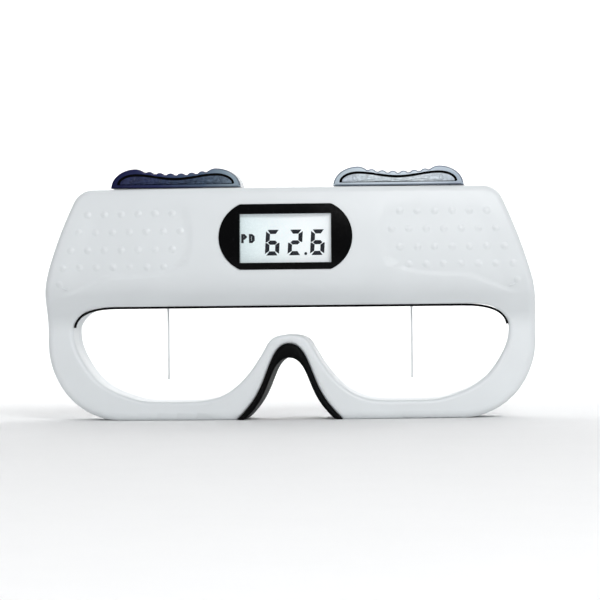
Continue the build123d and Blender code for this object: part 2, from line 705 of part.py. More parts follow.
for side, sign in SIDES:
    centre = sign * SLIDE_X
    stem_x = (centre - STEM_W / 2, centre + STEM_W / 2)
    stem_y = (ROD_Y - STEM_T / 2, ROD_Y + STEM_T / 2)
    hair_x = sign * HAIR_X
    block_x = (centre - CARRIAGE_W / 2, centre + CARRIAGE_W / 2)

    with BuildPart() as carriage:
        add(slab(*block_x, *CARRIAGE_Y, *CARRIAGE_Z))
        add(slab(centre - 5, centre + 5, -5.4, 0, 39.2, 48.8), mode=Mode.SUBTRACT)
        add(slab(*stem_x, *stem_y, CARRIAGE_Z[1], KNOB_Z + 1.6))
        for z in ROD_Z:
            add(rod_x(ROD_Y, z, 1.6, -60, 60), mode=Mode.SUBTRACT)
        with Locations(Plane(origin=(hair_x, ROD_Y, CARRIAGE_Z[0]), z_dir=(0, 0, -1))):
            Hole(radius=0.8, depth=0.7)
    save(carriage.part, f"{side}_carriage")

    with BuildPart() as bushes:
        for z in ROD_Z:
            for x0 in (block_x[0], block_x[1] - 3):
                add(rod_x(ROD_Y, z, 1.6, x0, x0 + 3))
            add(rod_x(ROD_Y, z, ROD_R + RUN, -60, 60), mode=Mode.SUBTRACT)
    save(bushes.part, f"{side}_bushes")

    with BuildPart() as encoder_plate:
        add(slab(centre - 6, centre + 6, -8.0, CARRIAGE_Y[0], 41.6, 48.9))
    save(encoder_plate.part, f"{side}_encoder_plate")

    with BuildPart() as hair_collet:
        add(slab(hair_x - 0.8, hair_x + 0.8, ROD_Y - 0.55, ROD_Y + 0.55, 31.8, CARRIAGE_Z[0]))
        with BuildSketch(Plane.XY.offset(CARRIAGE_Z[0])):
            with Locations((hair_x, ROD_Y)):
                Circle(0.8)
        extrude(amount=0.7)
        with BuildSketch(Plane.XY.offset(30)):
            with Locations((hair_x, ROD_Y)):
                Circle(HAIR_R)
        extrude(amount=6, mode=Mode.SUBTRACT)
    save(hair_collet.part, f"{side}_hairline_collet")

    with BuildPart() as hairline:
        with BuildSketch(Plane.XY.offset(HAIR_LOW)):
            with Locations((hair_x, ROD_Y)):
                Circle(HAIR_R)
        extrude(amount=CARRIAGE_Z[0] + 0.7 - HAIR_LOW)
    save(hairline.part, f"{side}_hairline")

    recess = inlay_block(centre, 0.25)
    front_recess = recess & slab(-70, 70, -30, KNOB_Y[0] + 1.2, 50, 80)
    back_recess = recess & slab(-70, 70, KNOB_Y[1] - 1.2, 30, 50, 80)
    with BuildPart() as thumb_slide:
        add(knob_block(centre))
        add(front_recess, mode=Mode.SUBTRACT)
        add(back_recess, mode=Mode.SUBTRACT)
        add(slab(stem_x[0] - BUTT, stem_x[1] + BUTT, stem_y[0] - BUTT, stem_y[1] + BUTT,
                 KNOB_Z - 1, KNOB_Z + 1.6), mode=Mode.SUBTRACT)
    save(thumb_slide.part, f"{side}_thumb_slide")

    panel = inlay_block(centre, 0)
    front_panel = panel & slab(-70, 70, KNOB_Y[0] + 0.5, KNOB_Y[0] + 1.2, 50, 80)
    back_panel = panel & slab(-70, 70, KNOB_Y[1] - 1.2, KNOB_Y[1] - 0.5, 50, 80)
    with BuildPart() as slide_inlays:
        add(front_panel)
        add(back_panel)
    save(slide_inlays.part, f"{side}_slide_inlays")
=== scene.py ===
import math

import bmesh
import bpy
import numpy as np
from mathutils import Matrix, Vector
from mathutils.geometry import tessellate_polygon


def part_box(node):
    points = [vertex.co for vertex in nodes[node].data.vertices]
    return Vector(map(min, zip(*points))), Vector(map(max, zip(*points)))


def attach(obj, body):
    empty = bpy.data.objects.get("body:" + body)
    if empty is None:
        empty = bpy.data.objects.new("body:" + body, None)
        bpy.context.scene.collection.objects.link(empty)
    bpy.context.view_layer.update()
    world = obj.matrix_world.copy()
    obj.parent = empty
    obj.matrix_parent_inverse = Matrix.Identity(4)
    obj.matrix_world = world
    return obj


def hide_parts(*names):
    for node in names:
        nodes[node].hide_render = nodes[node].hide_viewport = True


# The looks of a hand-held digital pupillary distance rule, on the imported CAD
# frame. Metres; +X right seen from the front, +Y towards the wearer, +Z up.

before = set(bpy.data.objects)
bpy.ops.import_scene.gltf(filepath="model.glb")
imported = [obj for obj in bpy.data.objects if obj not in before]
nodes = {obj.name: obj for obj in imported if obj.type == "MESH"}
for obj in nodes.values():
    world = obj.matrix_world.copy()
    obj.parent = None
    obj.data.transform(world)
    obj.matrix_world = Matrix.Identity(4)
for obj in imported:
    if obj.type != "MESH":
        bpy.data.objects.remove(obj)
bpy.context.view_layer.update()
MM = 0.001

# ------------------------------------------------------- shape of the housing
# The front is a side profile of two arcs, revolved about an upright axis
# behind the wearer's head, so that it wraps around the face. The profile's
# points are (y, z) on the middle line.
AXIS_Y = 259.0 * MM
TOP = Vector((-16.3, 59.3)) * MM
BROW = Vector((-18.85, 46.0)) * MM
FACE = Vector((-19.0, 40.0)) * MM
ROLL_END = Vector((-15.6, 31.6)) * MM
# The side of the housing seen from the front, in (x, z): upright, a knee,
# then leaning in.
HALF_W = 63.0 * MM
FLANK_Z = 30.0 * MM
KNEE = Vector((62.1, 36.5)) * MM
SHOULDER = Vector((54.7, 56.2)) * MM
WINDOW_TOP = 29.3 * MM


def circle_through(a, b, c):
    """Centre and radius of the circle through three points."""
    d = 2 * (a.x * (b.y - c.y) + b.x * (c.y - a.y) + c.x * (a.y - b.y))
    sa, sb, sc = a.length_squared, b.length_squared, c.length_squared
    centre = Vector((
        (sa * (b.y - c.y) + sb * (c.y - a.y) + sc * (a.y - b.y)) / d,
        (sa * (c.x - b.x) + sb * (a.x - c.x) + sc * (b.x - a.x)) / d,
    ))
    return centre, (centre - a).length


def arc_to(start, inward, end):
    """Centre and radius of the arc from start, where its centre lies inward, to end."""
    chord = end - start
    radius = chord.length_squared / (2 * chord.dot(inward))
    return start + inward * radius, radius


FACE_C, FACE_R = circle_through(TOP, BROW, FACE)
ROLL_C, ROLL_R = arc_to(FACE, (FACE_C - FACE).normalized(), ROLL_END)
KNEE_C, KNEE_R = arc_to(Vector((HALF_W, FLANK_Z)), Vector((-1, 0)), KNEE)
FLANK_C, FLANK_R = arc_to(KNEE, (KNEE_C - KNEE).normalized(), SHOULDER)


def profile(z):
    """Middle line of the front: how far forward the skin is at height z."""
    z = np.asarray(z, float)
    face = FACE_C.x - np.sqrt(np.maximum(FACE_R**2 - (z - FACE_C.y) ** 2, 0))
    roll = ROLL_C.x - np.sqrt(np.maximum(ROLL_R**2 - (z - ROLL_C.y) ** 2, 0))
    return np.where(z > FACE.y, face, roll)


def wrap(y, x):
    """Carries a place y on the middle line round the wrap to x."""
    return AXIS_Y - np.sqrt((AXIS_Y - y) ** 2 - np.asarray(x, float) ** 2)


def smooth(t):
    """0 below 0, 1 above 1, and a smooth step between."""
    t = np.clip(t, 0, 1)
    return t * t * (3 - 2 * t)


# ------------------------------------------------------------------- helpers
def add_mesh(name, verts, faces, material, shade=True):
    """A new mesh object of one material."""
    mesh = bpy.data.meshes.new(name)
    mesh.from_pydata([tuple(v) for v in verts], [], [tuple(f) for f in faces])
    mesh.validate()
    mesh.polygons.foreach_set("use_smooth", [shade] * len(mesh.polygons))
    obj = bpy.data.objects.new(name, mesh)
    bpy.context.scene.collection.objects.link(obj)
    mesh.materials.append(material)
    return obj


def paint(obj, material):
    """One material for the whole object."""
    obj.data.materials.clear()
    obj.data.materials.append(material)
    return obj


def tidy_normals(obj, angle=35):
    """Faces point outwards, and edges sharper than the angle stay sharp."""
    bm = bmesh.new()
    bm.from_mesh(obj.data)
    bmesh.ops.recalc_face_normals(bm, faces=bm.faces)
    limit = math.radians(angle)
    for edge in bm.edges:
        edge.smooth = len(edge.link_faces) == 2 and edge.calc_face_angle(0) < limit
    bm.to_mesh(obj.data)
    bm.free()


# ----------------------------------------------------------------- materials
# Noise is given in cells per metre, and most of its values lie in this range.
NOISE_LOW, NOISE_HIGH = 0.3, 0.7
CLOUD_CELLS = 60
GLOSS_CELLS = 900
GLOSS_VARY = 0.04
COAT_ROUGHNESS = 0.08
STAIN_CELLS = 250
STAIN_DARK = 0.88
METAL_GLOSS_VARY = 0.08
METAL_GRAIN = 2e-6


def shader(name):
    """A new material with its Principled shader."""
    material = bpy.data.materials.new(name)
    material.use_nodes = True
    return material, material.node_tree, material.node_tree.nodes["Principled BSDF"]


def noise(tree, scale, detail=2.0):
    """Noise in the object's own space."""
    place = tree.nodes.new("ShaderNodeTexCoord")
    made = tree.nodes.new("ShaderNodeTexNoise")
    made.inputs["Scale"].default_value = scale
    made.inputs["Detail"].default_value = detail
    tree.links.new(place.outputs["Object"], made.inputs["Vector"])
    return made.outputs["Fac"]


def spread(tree, value, low, high):
    """Maps a noise's middle range to low..high."""
    scale = tree.nodes.new("ShaderNodeMapRange")
    scale.inputs["From Min"].default_value = NOISE_LOW
    scale.inputs["From Max"].default_value = NOISE_HIGH
    scale.inputs["To Min"].default_value = low
    scale.inputs["To Max"].default_value = high
    tree.links.new(value, scale.inputs["Value"])
    return scale.outputs["Result"]


def tones(tree, factor, stops):
    """A colour ramp over a factor."""
    ramp = tree.nodes.new("ShaderNodeValToRGB")
    while len(ramp.color_ramp.elements) < len(stops):
        ramp.color_ramp.elements.new(0.5)
    for element, (place, colour) in zip(ramp.color_ramp.elements, stops):
        element.position = place
        element.color = (*colour, 1)
    tree.links.new(factor, ramp.inputs["Fac"])
    return ramp.outputs["Color"]


def clouded(tree, value, dark, light):
    """From dark to light over a noise's middle range."""
    return tones(tree, value, ((NOISE_LOW, dark), (NOISE_HIGH, light)))


def along(tree, axis, start, end):
    """0 to 1 along an axis of the object's own space, between two places."""
    place = tree.nodes.new("ShaderNodeTexCoord")
    split = tree.nodes.new("ShaderNodeSeparateXYZ")
    scale = tree.nodes.new("ShaderNodeMapRange")
    scale.inputs["From Min"].default_value = start
    scale.inputs["From Max"].default_value = end
    tree.links.new(place.outputs["Object"], split.inputs["Vector"])
    tree.links.new(split.outputs[axis], scale.inputs["Value"])
    return scale.outputs["Result"]


def grain(tree, body, height, depth):
    """Fine relief in the surface, depth in metres."""
    bump = tree.nodes.new("ShaderNodeBump")
    bump.inputs["Distance"].default_value = depth
    bump.inputs["Strength"].default_value = 1.0
    tree.links.new(height, bump.inputs["Height"])
    tree.links.new(bump.outputs["Normal"], body.inputs["Normal"])


def plastic(name, colour, roughness, cells=4500, depth=6e-6, vary=0.03, coat=0.0, level=0.5):
    """Moulded plastic: faint cloudiness, spark-eroded grain, uneven gloss."""
    material, tree, body = shader(name)
    dark = tuple(c * (1 - vary) for c in colour)
    cloud = noise(tree, CLOUD_CELLS, 3)
    tree.links.new(clouded(tree, cloud, dark, colour), body.inputs["Base Color"])
    gloss = noise(tree, GLOSS_CELLS)
    tree.links.new(spread(tree, gloss, roughness - GLOSS_VARY, roughness + GLOSS_VARY),
                   body.inputs["Roughness"])
    grain(tree, body, noise(tree, cells, 1.0), depth)
    body.inputs["Coat Weight"].default_value = coat
    body.inputs["Coat Roughness"].default_value = COAT_ROUGHNESS
    body.inputs["Specular IOR Level"].default_value = level
    return material


def metal(name, colour, roughness, cells=1500):
    """Turned or plated metal with fine handling marks."""
    material, tree, body = shader(name)
    dark = tuple(c * STAIN_DARK for c in colour)
    stain = noise(tree, STAIN_CELLS, 4)
    tree.links.new(clouded(tree, stain, dark, colour), body.inputs["Base Color"])
    gloss = noise(tree, cells, 3)
    tree.links.new(spread(tree, gloss, roughness - METAL_GLOSS_VARY, roughness + METAL_GLOSS_VARY),
                   body.inputs["Roughness"])
    grain(tree, body, noise(tree, cells, 2.0), METAL_GRAIN)
    body.inputs["Metallic"].default_value = 1.0
    return material


TINT_WOBBLE = 0.12
TINT_CELLS = 260
MOTTLE_CELLS = 1100
TINT_GLOSS_CELLS = 700
TINT_GRAIN_CELLS = 1800
TINT_GRAIN = 4e-6


def across(name, stops, start, end, roughness, level, mottle=0.0):
    """Glossy tinted plastic whose colour runs from start to end along X."""
    material, tree, body = shader(name)
    place = along(tree, "X", start, end)
    wobble = tree.nodes.new("ShaderNodeMath")
    wobble.operation = "MULTIPLY_ADD"
    wobble.inputs[1].default_value = TINT_WOBBLE
    tree.links.new(noise(tree, TINT_CELLS, 3), wobble.inputs[0])
    tree.links.new(place, wobble.inputs[2])
    shade = tree.nodes.new("ShaderNodeVectorMath")
    shade.operation = "SCALE"
    tree.links.new(tones(tree, wobble.outputs["Value"], stops), shade.inputs["Vector"])
    tree.links.new(spread(tree, noise(tree, MOTTLE_CELLS, 3), 1 - mottle, 1), shade.inputs["Scale"])
    tree.links.new(shade.outputs["Vector"], body.inputs["Base Color"])
    gloss = noise(tree, TINT_GLOSS_CELLS)
    tree.links.new(spread(tree, gloss, roughness - GLOSS_VARY, roughness + 1.5 * GLOSS_VARY),
                   body.inputs["Roughness"])
    grain(tree, body, noise(tree, TINT_GRAIN_CELLS, 2.0), TINT_GRAIN)
    body.inputs["Specular IOR Level"].default_value = level
    return material


HOUSING = plastic("housing_plastic", (0.79, 0.82, 0.835), 0.46, coat=0.05)
HOUSING_BACK = plastic("housing_back_plastic", (0.76, 0.79, 0.805), 0.46, coat=0.08)
BEZEL = plastic("bezel_plastic", (0.0015, 0.0015, 0.0018), 0.2, 2500, 1e-6, level=0.08)
DARK = plastic("dark_plastic", (0.02, 0.02, 0.022), 0.5)
RUBBER = plastic("black_rubber", (0.0016, 0.0016, 0.0019), 0.55, 5200, 9e-6, vary=0.2, level=0.08)
SEAL = plastic("seal_rubber", (0.0016, 0.0016, 0.0019), 0.5, 5200, 5e-6, vary=0.2, level=0.06)
KEY = plastic("key_rubber", (0.085, 0.105, 0.13), 0.5, 5000, 6e-6, vary=0.1)
WHITE = plastic("white_plastic", (0.62, 0.62, 0.60), 0.4)
BOARD = plastic("board", (0.012, 0.10, 0.035), 0.35, 1500, 4e-6, vary=0.25)
CHIP = plastic("chip", (0.015, 0.015, 0.017), 0.45)
CELL = plastic("cell_sleeve", (0.03, 0.035, 0.042), 0.25, coat=0.5, vary=0.15)
HAIR = plastic("hairline_enamel", (0.80, 0.82, 0.83), 0.35, vary=0.02)
STEEL = metal("steel", (0.55, 0.56, 0.57), 0.3)
NICKEL = metal("nickel", (0.68, 0.66, 0.62), 0.25)
BRASS = metal("brass", (0.62, 0.45, 0.18), 0.32)
COPPER = metal("gilt_tracks", (0.70, 0.42, 0.18), 0.3)
FOIL = metal("reflector_foil", (0.78, 0.80, 0.80), 0.35)
INK = plastic("lcd_figure", (0.004, 0.007, 0.016), 0.3, vary=0.3)


def lcd_cell_painted_glow():
    """The display's glass, greener towards its left end, with a painted glow that stands in for
    light on it.
    """
    material, tree, body = shader("lcd_cell_painted_glow")
    place = along(tree, "X", -11.6 * MM, 4 * MM)
    tint = tones(tree, place, ((0.0, (0.70, 0.83, 0.84)), (1.0, (0.93, 0.97, 0.98))))
    tree.links.new(tint, body.inputs["Base Color"])
    tree.links.new(spread(tree, noise(tree, 1500), 0.22, 0.3), body.inputs["Roughness"])
    # Painted light: the emission makes the glass glow, though the display has no lamp, only a
    # reflector behind it.
    body.inputs["Emission Color"].default_value = (0.9, 0.97, 1.0, 1)
    body.inputs["Emission Strength"].default_value = 0.26
    return material


def clear_window():
    """The clear pane over the display."""
    material, tree, body = shader("clear_window")
    tree.links.new(spread(tree, noise(tree, GLOSS_CELLS), 0.02, 0.05), body.inputs["Roughness"])
    haze = clouded(tree, noise(tree, 2 * CLOUD_CELLS), (0.04, 0.05, 0.06), (0.06, 0.07, 0.08))
    tree.links.new(haze, body.inputs["Base Color"])
    body.inputs["Alpha"].default_value = 0.04
    body.inputs["Specular IOR Level"].default_value = 0.3
    material.surface_render_method = "BLENDED"
    return material


LCD_PAINTED_GLOW = lcd_cell_painted_glow()
CLEAR = clear_window()

# The thumb slides' colours, from the left end of a slide to its right end: the rounded edges
# and walls, the faces, and the panels sunk in them. Each run holds painted light as well as
# the plastic's tint: the navy slide and its panel lighten to a painted highlight towards the
# right end, the pale slide and its panel are painted darker towards both ends as painted shade,
# and the edges and walls are darker copies of the faces, also painted shade.
NAVY_EDGE_SHADE_STOPS = ((0.0, (0.004, 0.004, 0.030)), (0.42, (0.018, 0.020, 0.080)),
                   (0.76, (0.07, 0.085, 0.14)), (1.0, (0.15, 0.18, 0.22)))
NAVY_TINT_AND_LIGHT_STOPS = ((0.0, (0.006, 0.006, 0.036)), (0.42, (0.025, 0.033, 0.100)),
              (0.76, (0.08, 0.12, 0.19)), (1.0, (0.26, 0.33, 0.39)))
NAVY_PANEL_TINT_AND_LIGHT_STOPS = ((0.0, (0.012, 0.012, 0.065)), (0.35, (0.050, 0.065, 0.150)),
                    (0.76, (0.08, 0.12, 0.19)), (1.0, (0.19, 0.25, 0.32)))
ICE_EDGE_SHADE_STOPS = ((0.0, (0.17, 0.21, 0.25)), (0.3, (0.22, 0.26, 0.32)),
                  (0.75, (0.26, 0.30, 0.36)), (1.0, (0.18, 0.21, 0.27)))
ICE_TINT_AND_LIGHT_STOPS = ((0.0, (0.40, 0.47, 0.53)), (0.25, (0.60, 0.68, 0.75)),
             (0.75, (0.64, 0.72, 0.80)), (1.0, (0.42, 0.49, 0.57)))
ICE_PANEL_TINT_AND_LIGHT_STOPS = ((0.0, (0.45, 0.50, 0.62)), (0.3, (0.80, 0.88, 0.93)),
                   (0.75, (0.84, 0.91, 0.96)), (1.0, (0.62, 0.70, 0.78)))


def slide_paint(node, name, stops, roughness, level, mottle=0.0):
    """The colour of one thumb slide with its painted light and shade, from its left end to its
    right end.
    """
    low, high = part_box(node)
    return across(name, stops, low.x, high.x, roughness, level, mottle)


# Painted shade: the edge materials are darker copies of the slide materials, laid on the rounded
# edges and walls.
EDGE_SHADE = {"left": slide_paint("left_thumb_slide", "navy_edge_painted_shade", NAVY_EDGE_SHADE_STOPS, 0.2, 0.14),
        "right": slide_paint("right_thumb_slide", "ice_edge_painted_shade", ICE_EDGE_SHADE_STOPS, 0.2, 0.3)}
SLIDE = {"left": slide_paint("left_thumb_slide", "navy_slide", NAVY_TINT_AND_LIGHT_STOPS, 0.2, 0.14),
         "right": slide_paint("right_thumb_slide", "ice_slide", ICE_TINT_AND_LIGHT_STOPS, 0.2, 0.4)}
INLAY = {"left": slide_paint("left_thumb_slide", "navy_inlay", NAVY_PANEL_TINT_AND_LIGHT_STOPS, 0.26, 0.2, 0.6),
         "right": slide_paint("right_thumb_slide", "ice_inlay", ICE_PANEL_TINT_AND_LIGHT_STOPS, 0.28, 0.4, 0.35)}

# ------------------------------------------------------------- front moulding
# A shallow dish for each thumb. It fades out at its bowed inner end, at its
# lower edge, which falls away outwards, at its top and along the flank.
DISH_DEPTH = 0.42 * MM
DISH_INNER = 23.2 * MM
DISH_INNER_Z = 47.0 * MM
DISH_INNER_SPAN = 10.0 * MM
DISH_INNER_BOW = 2.6 * MM
DISH_INNER_FADE = 2.4 * MM
DISH_LOW = 35.9 * MM
DISH_LOW_FADE = 1.5 * MM
DISH_CORNER = 5.2 * MM
DISH_CORNER_X = 24.0 * MM
DISH_CORNER_SPAN = 5.0 * MM
DISH_DROP = 4.6 * MM
DISH_DROP_X = 44.0 * MM
DISH_DROP_SPAN = 16.0 * MM
DISH_TOP = 50.0 * MM
DISH_TOP_FADE = 7.0 * MM
DISH_RIM = 8.5 * MM
DISH_RIM_FADE = 6.0 * MM
# Rows of soft round dots in it: height, innermost dot and how many, in mm.
DOT_ROWS = ((52.9, 28.9, 6), (48.4, 26.8, 7), (43.8, 28.9, 7), (39.4, 31.1, 7), (35.2, 58.5, 1))
DOT_PITCH = 4.4 * MM
DOT_R = 1.25 * MM
DOT_H = 0.27 * MM
# A dot's rim is sunk a little, and its closed base lies the skirt's depth below.
DOT_SUNK = 0.03 * MM
DOT_SKIRT = 0.15 * MM
DOT_SIDES = 24
DOT_RINGS = 7
# The part of the skin that is cut finely enough to take the dishes.
GRIP_X = 20.0 * MM
GRIP_Z = (31.9 * MM, 57.2 * MM)
GRIP_X_MARGIN = 1.0 * MM
GRIP_Z_MARGINS = (0.2 * MM, 0.3 * MM)
EDGE_ROUND = 2.0 * MM
FINE_EDGE = 0.5 * MM
CUT_ROUNDS = 9
# Corners nearer to each other than WELD are one. Corners this near the smooth
# skin lie on it, before the cuts and after them, and take the dished skin's
# normal where the face points the same way.
WELD = 1e-7
ON_SKIN = 4e-6
NEAR_SKIN = 5e-6
SAME_WAY = 0.7
SLOPE_STEP = 2e-5


def flank(z):
    """Half width of the housing at height z."""
    z = np.clip(np.asarray(z, float), FLANK_Z, TOP.y)
    low = KNEE_C.x + np.sqrt(np.maximum(KNEE_R**2 - (z - KNEE_C.y) ** 2, 0))
    high = FLANK_C.x + np.sqrt(FLANK_R**2 - (z - FLANK_C.y) ** 2)
    return np.where(z < KNEE.y, low, high)


def dish(x, z):
    """How far the thumb dish is sunk at x, z."""
    x = np.abs(x)
    inner = DISH_INNER + DISH_INNER_BOW * ((z - DISH_INNER_Z) / DISH_INNER_SPAN) ** 2
    low = DISH_LOW + DISH_CORNER * np.exp(-(x - DISH_CORNER_X) / DISH_CORNER_SPAN)
    low = low - DISH_DROP * smooth((x - DISH_DROP_X) / DISH_DROP_SPAN)
    sunk = smooth((x - inner) / DISH_INNER_FADE) * smooth((z - low) / DISH_LOW_FADE)
    sunk = sunk * (1 - smooth((z - DISH_TOP) / DISH_TOP_FADE))
    return DISH_DEPTH * sunk * (1 - smooth((x - flank(z) + DISH_RIM) / DISH_RIM_FADE))


def skin(x, z):
    """The finished front surface."""
    return wrap(profile(z), x) + dish(x, z)


def micron_key(place):
    """A place in whole micrometres, to look corners up by."""
    return tuple(np.round(place * 1e6).astype(int))


def build_front():
    """The front shell with the thumb dishes moulded into its skin."""
    source = nodes["front_shell"].data
    corner = np.array([v.co for v in source.vertices], float)
    loop_vert = np.zeros(len(source.loops), int)
    source.loops.foreach_get("vertex_index", loop_vert)
    loop_normal = np.zeros(len(source.loops) * 3)
    source.corner_normals.foreach_get("vector", loop_normal)
    loop_normal = loop_normal.reshape(-1, 3)
    known = {}
    for vert, normal in zip(loop_vert, loop_normal):
        known.setdefault(micron_key(corner[vert]), []).append(normal)

    bm = bmesh.new()
    bm.from_mesh(source)
    bmesh.ops.remove_doubles(bm, verts=bm.verts, dist=WELD)
    on_skin = {v for v in bm.verts
               if abs(v.co.y - float(wrap(profile(v.co.z), v.co.x))) < ON_SKIN}

    def fine(face):
        if not all(v in on_skin for v in face.verts):
            return False
        spot = face.calc_center_median()
        return (GRIP_X < abs(spot.x) < float(flank(spot.z)) - EDGE_ROUND
                and GRIP_Z[0] < spot.z < GRIP_Z[1])

    for _ in range(CUT_ROUNDS):
        zone = [f for f in bm.faces if fine(f)]
        long = {e for f in zone for e in f.edges if e.calc_length() > FINE_EDGE}
        if not long:
            break
        cut = bmesh.ops.subdivide_edges(bm, edges=list(long), cuts=1)
        for item in cut["geom_inner"]:
            if isinstance(item, bmesh.types.BMVert):
                item.co.y = float(wrap(profile(item.co.z), item.co.x))
                on_skin.add(item)
        bmesh.ops.triangulate(bm, faces=[f for f in bm.faces if len(f.verts) > 3])
    mesh = bpy.data.meshes.new("housing_front")
    bm.to_mesh(mesh)
    bm.free()

    flat = np.array([v.co for v in mesh.vertices], float)
    x, y, z = flat.T
    inside = np.abs(y - wrap(profile(z), x)) < NEAR_SKIN
    inside &= np.abs(x) > GRIP_X - GRIP_X_MARGIN
    inside &= (z > GRIP_Z[0] - GRIP_Z_MARGINS[0]) & (z < GRIP_Z[1] + GRIP_Z_MARGINS[1])
    sunk = flat.copy()
    sunk[inside, 1] = skin(x[inside], z[inside])
    step = SLOPE_STEP
    slope_x = (skin(x + step, z) - skin(x - step, z)) / (2 * step)
    slope_z = (skin(x, z + step) - skin(x, z - step)) / (2 * step)
    up = np.stack([slope_x, -np.ones(len(x)), slope_z], axis=1)
    up /= np.linalg.norm(up, axis=1)[:, None]
    mesh.vertices.foreach_set("co", sunk.ravel())
    mesh.polygons.foreach_set("use_smooth", [True] * len(mesh.polygons))
    mesh.update()
    normals = np.zeros((len(mesh.loops), 3))
    for face in mesh.polygons:
        facing = np.array(face.normal)
        for loop in face.loop_indices:
            vert = mesh.loops[loop].vertex_index
            choice = facing
            if inside[vert] and up[vert] @ facing > SAME_WAY:
                choice = up[vert]
            else:
                near = known.get(micron_key(flat[vert]))
                if near:
                    choice = max(near, key=lambda n: n @ facing)
            normals[loop] = choice
    mesh.normals_split_custom_set([tuple(n) for n in normals])
    front = bpy.data.objects.new("housing_front", mesh)
    bpy.context.scene.collection.objects.link(front)
    return paint(front, HOUSING)


housing_front = build_front()
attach(housing_front, "housing")
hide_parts("front_shell")


def build_dots(side):
    """The soft round dots of one thumb dish, each one closed."""
    sign = -1 if side == "left" else 1
    verts, faces = [], []
    for row_z, start, count in DOT_ROWS:
        for i in range(count):
            cx, cz = sign * (start * MM + DOT_PITCH * i), row_z * MM
            first = len(verts)
            verts.append((cx, float(skin(cx, cz)) + DOT_SUNK - DOT_H, cz))
            for k in range(1, DOT_RINGS + 2):
                out = min(k / DOT_RINGS, 1)
                rise = DOT_H * (1 - out**2) ** 2 if k <= DOT_RINGS else -DOT_SKIRT
                for j in range(DOT_SIDES):
                    a = 2 * math.pi * j / DOT_SIDES
                    x, z = cx + DOT_R * out * math.cos(a), cz + DOT_R * out * math.sin(a)
                    verts.append((x, float(skin(x, z)) + DOT_SUNK - rise, z))
            for j in range(DOT_SIDES):
                n = (j + 1) % DOT_SIDES
                faces.append((first, first + 1 + j, first + 1 + n))
                for k in range(DOT_RINGS):
                    a = first + 1 + k * DOT_SIDES
                    b = a + DOT_SIDES
                    faces.append((a + j, b + j, b + n, a + n))
            last = first + 1 + DOT_RINGS * DOT_SIDES
            faces.append([last + j for j in range(DOT_SIDES)])
    grip = add_mesh(f"{side}_grip_domes", verts, faces, HOUSING)
    tidy_normals(grip, 50)
    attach(grip, "housing")
    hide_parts(f"{side}_grip_dots")


for side in ("left", "right"):
    build_dots(side)

# ------------------------------------------------------------------- display
# Seven-segment figures: a segment is a bar with tapered ends. Figures are
# placed from the left and the top of the display's window.
LCD_FRONT_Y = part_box("lcd_glass")[0].y
LCD_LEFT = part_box("display_window")[0].x
LCD_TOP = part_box("display_window")[1].z
FIGURE_W = 3.6 * MM
FIGURE_H = 6.5 * MM
LEAN = 0.06
# A segment's thickness, the gap round it, and how far its outer corners are cut.
BAR = 1.05 * MM
GAP = 0.07 * MM
CUT = 0.32 * MM
INK_T = 0.03 * MM
SEGMENTS = {"6": "acdefg", "2": "abdeg"}
READING = (("6", 6.2 * MM), ("2", 11.95 * MM), ("6", 17.65 * MM))
READING_LOW = 10.5 * MM
POINT_LEFT = 16.6 * MM
POINT_UP = 0.4 * MM
POINT_R = 0.38 * MM
LETTERS_LEFT = 0.25 * MM
LETTERS_LOW = 7.3 * MM
LETTER_W = 1.45 * MM
LETTER_H = 2.3 * MM
LETTER_STROKE = 0.6 * MM


def bar(kind, w, h):
    """Outline of one segment, from the figure's lower left corner."""
    g, c, t, half = GAP, CUT, BAR, BAR / 2
    mid = h / 2
    nib = 0.6 * half
    shapes = {
        "a": ((g + c, h), (w - g - c, h), (w - t - g, h - t), (t + g, h - t)),
        "d": ((g + c, 0), (t + g, t), (w - t - g, t), (w - g - c, 0)),
        "g": ((half + g, mid), (t + g, mid + half), (w - t - g, mid + half),
              (w - half - g, mid), (w - t - g, mid - half), (t + g, mid - half)),
        "f": ((0, h - g - c), (t, h - t - g), (t, mid + half + g), (nib, mid + g), (0, mid + g)),
        "b": ((w, h - g - c), (w, mid + g), (w - nib, mid + g), (w - t, mid + half + g),
              (w - t, h - t - g)),
        "e": ((0, g + c), (0, mid - g), (nib, mid - g), (t, mid - half - g), (t, t + g)),
        "c": ((w, g + c), (w - t, t + g), (w - t, mid - half - g), (w - nib, mid - g),
              (w, mid - g)),
    }
    return shapes[kind]


def plate(outlines, y, thickness):
    """Thin plates with these outlines (x, z), their fronts at y."""
    verts, faces = [], []
    for outline in outlines:
        first, count = len(verts), len(outline)
        verts += [(x, y, z) for x, z in outline] + [(x, y + thickness, z) for x, z in outline]
        faces.append([first + i for i in range(count)])
        faces.append([first + count + i for i in reversed(range(count))])
        faces += [[first + i, first + (i + 1) % count, first + count + (i + 1) % count,
                   first + count + i] for i in range(count)]
    return verts, faces


def ring(cx, cz, radius, count=20):
    """A round outline."""
    turn = 2 * math.pi / count
    return [(cx + radius * math.cos(i * turn), cz + radius * math.sin(i * turn))
            for i in range(count)]


def letter_strokes(x, z, w, h, t):
    """The letters P and D as bold outlines, from their lower left corner."""
    inner = w - 1.3 * t
    waist = z + 0.38 * h
    p_stem = ((x, z), (x + t, z), (x + t, z + h), (x, z + h))
    bowl = ((x + t, z + h), (x + w - t, z + h), (x + w, z + h - t), (x + w, z + 0.62 * h),
            (x + w - t, waist), (x + t, waist), (x + t, waist + t), (x + inner, waist + t),
            (x + inner, z + h - t), (x + t, z + h - t))
    d = x + 1.36 * w
    d_stem = ((d, z), (d + t, z), (d + t, z + h), (d, z + h))
    belly = ((d + t, z + h), (d + w - t, z + h), (d + w, z + h - t), (d + w, z + t),
             (d + w - t, z), (d + t, z), (d + t, z + t), (d + inner, z + t),
             (d + inner, z + h - t), (d + t, z + h - t))
    return [p_stem, bowl, d_stem, belly]


